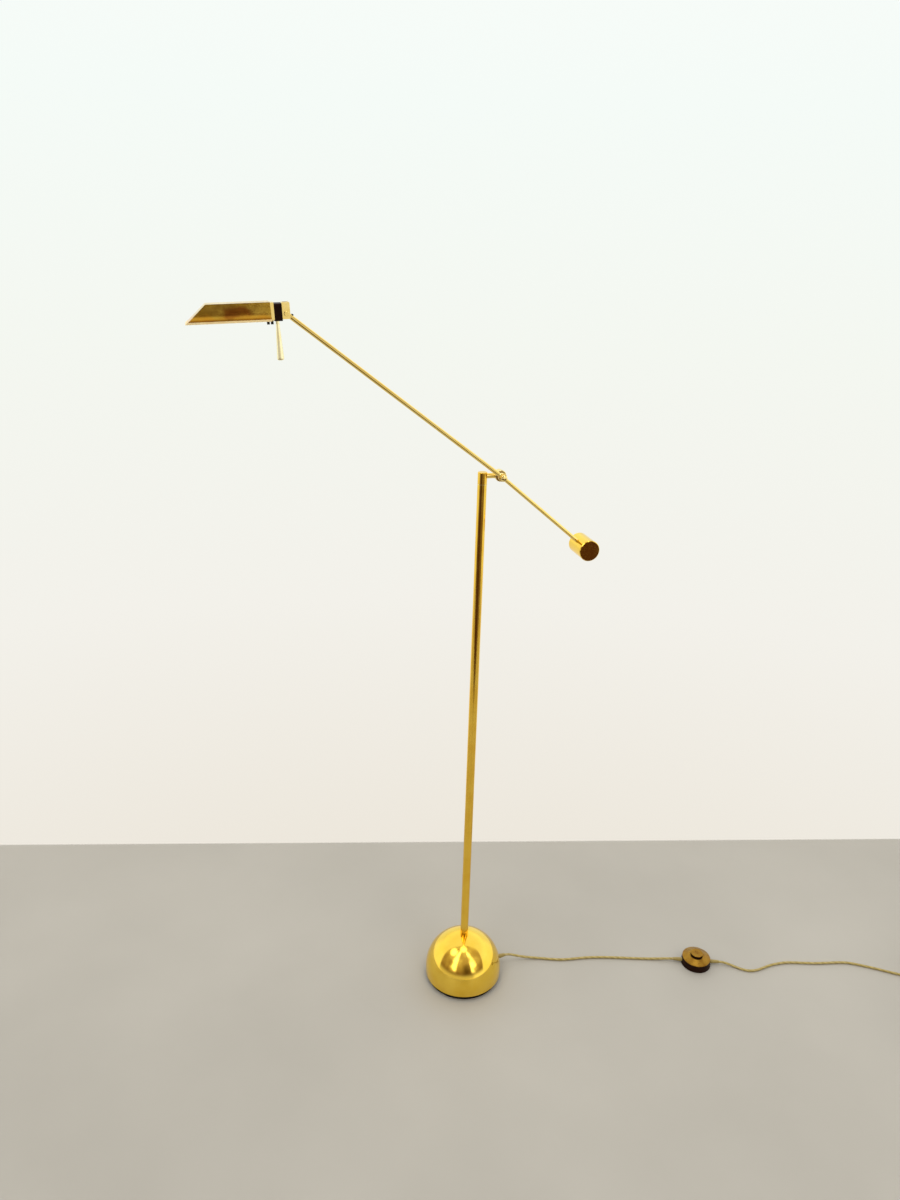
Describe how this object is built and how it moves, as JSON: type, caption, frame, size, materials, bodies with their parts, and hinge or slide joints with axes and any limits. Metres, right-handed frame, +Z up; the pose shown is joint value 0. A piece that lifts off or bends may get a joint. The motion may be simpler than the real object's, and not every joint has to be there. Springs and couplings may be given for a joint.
{
  "type": "counterbalance floor lamp",
  "caption": "Floor lamp with a domed base, an upright pole, a balanced swing arm with a cylindrical counterweight, a folded sheet shade and a foot switch on its cord.",
  "frame": {"origin": "centre of the felt pad under the base, on the floor", "axes": "+Z up along the pole, +X from the pole towards the arm's pivot and the counterweight, -Y towards the tension knob and the side the picture is taken from"},
  "size_m": [1.7685, 0.4736, 1.5869],
  "materials": {
    "brass": "polished and lacquered",
    "bright_brass": "bright polished",
    "steel": "zinc plated",
    "black_steel": "blackened",
    "cast_iron": "as cast",
    "winding": "taped winding",
    "felt": "felt",
    "fibre": "matte",
    "dark_plastic": "satin",
    "board": "matte",
    "ceramic": "glazed",
    "glass": "clear",
    "rubber": "matte",
    "cord_sheath": "glossy"
  },
  "bodies": {
    "stand": {"base_dome": "brass", "base_core": "cast_iron", "transformer": "winding", "transformer_clamp": "steel", "transformer_bolt": "steel", "base_plate": "steel", "felt_pad": "felt", "plate_screws": "steel", "pole_nipple": "brass", "pole_washer": "steel", "pole_nut": "steel", "pole": "brass", "pole_lead": "rubber", "swivel_bush": "brass", "swivel_washer": "bright_brass", "cord_gland": "cord_sheath", "switch_base": "dark_plastic", "switch_body": "dark_plastic", "switch_cover": "brass", "switch_module": "board", "switch_spring": "steel", "switch_reliefs": "cord_sheath", "cord_to_switch": "cord_sheath", "cord_to_coil": "cord_sheath", "cord_coil": "cord_sheath", "cord_tie": "rubber", "plug_body": "cord_sheath", "plug_pins": "steel"},
    "swivel": {"swivel_cap": "brass", "swivel_clip": "steel", "bracket_stub": "brass", "pivot_boss": "brass", "pivot_bolt": "bright_brass", "friction_washer": "fibre"},
    "arm": {"arm_hub": "brass", "arm_tube": "brass", "arm_rod": "brass", "arm_eye": "brass", "arm_lead": "rubber", "tube_screw": "black_steel", "spring_washer": "steel", "counterweight": "brass", "weight_screw": "steel"},
    "knob": {"tension_knob": "bright_brass"},
    "head": {"head_knuckle": "brass", "tilt_screw": "bright_brass", "tilt_nut": "steel", "holder_screws": "steel", "lampholder": "dark_plastic", "bulb_socket": "ceramic", "bulb": "glass", "bulb_pins": "steel", "shade_collar": "bright_brass", "shade": "brass", "shade_screws": "black_steel", "grip": "brass"},
    "button": {"switch_button": "dark_plastic", "button_cap": "brass"}
  },
  "joints": [
    {"name": "pole_swivel", "type": "hinge", "parent": "stand", "child": "swivel", "pos_m": [0, 0, 1.2463], "axis": [0, 0, 1], "range_deg": [-170, 170]},
    {"name": "arm_tilt", "type": "hinge", "parent": "swivel", "child": "arm", "pos_m": [0.036, -0.0151, 1.2619], "axis": [0, 1, 0], "range_deg": [-86, 38]},
    {"name": "knob_turn", "type": "hinge", "parent": "swivel", "child": "knob", "pos_m": [0.036, -0.0151, 1.2619], "axis": [0, 1, 0], "range_deg": [-180, 180]},
    {"name": "head_tilt", "type": "hinge", "parent": "arm", "child": "head", "pos_m": [-0.37344, -0.0151, 1.56764], "axis": [0, 1, 0], "range_deg": [-40, 88]},
    {"name": "button_press", "type": "slide", "parent": "stand", "child": "button", "axis": [0, 0, -1], "range_m": [0, 0.003], "stiffness_N_per_m": 1200, "springref_m": -0.001, "deforming": ["switch_spring"]}
  ]
}
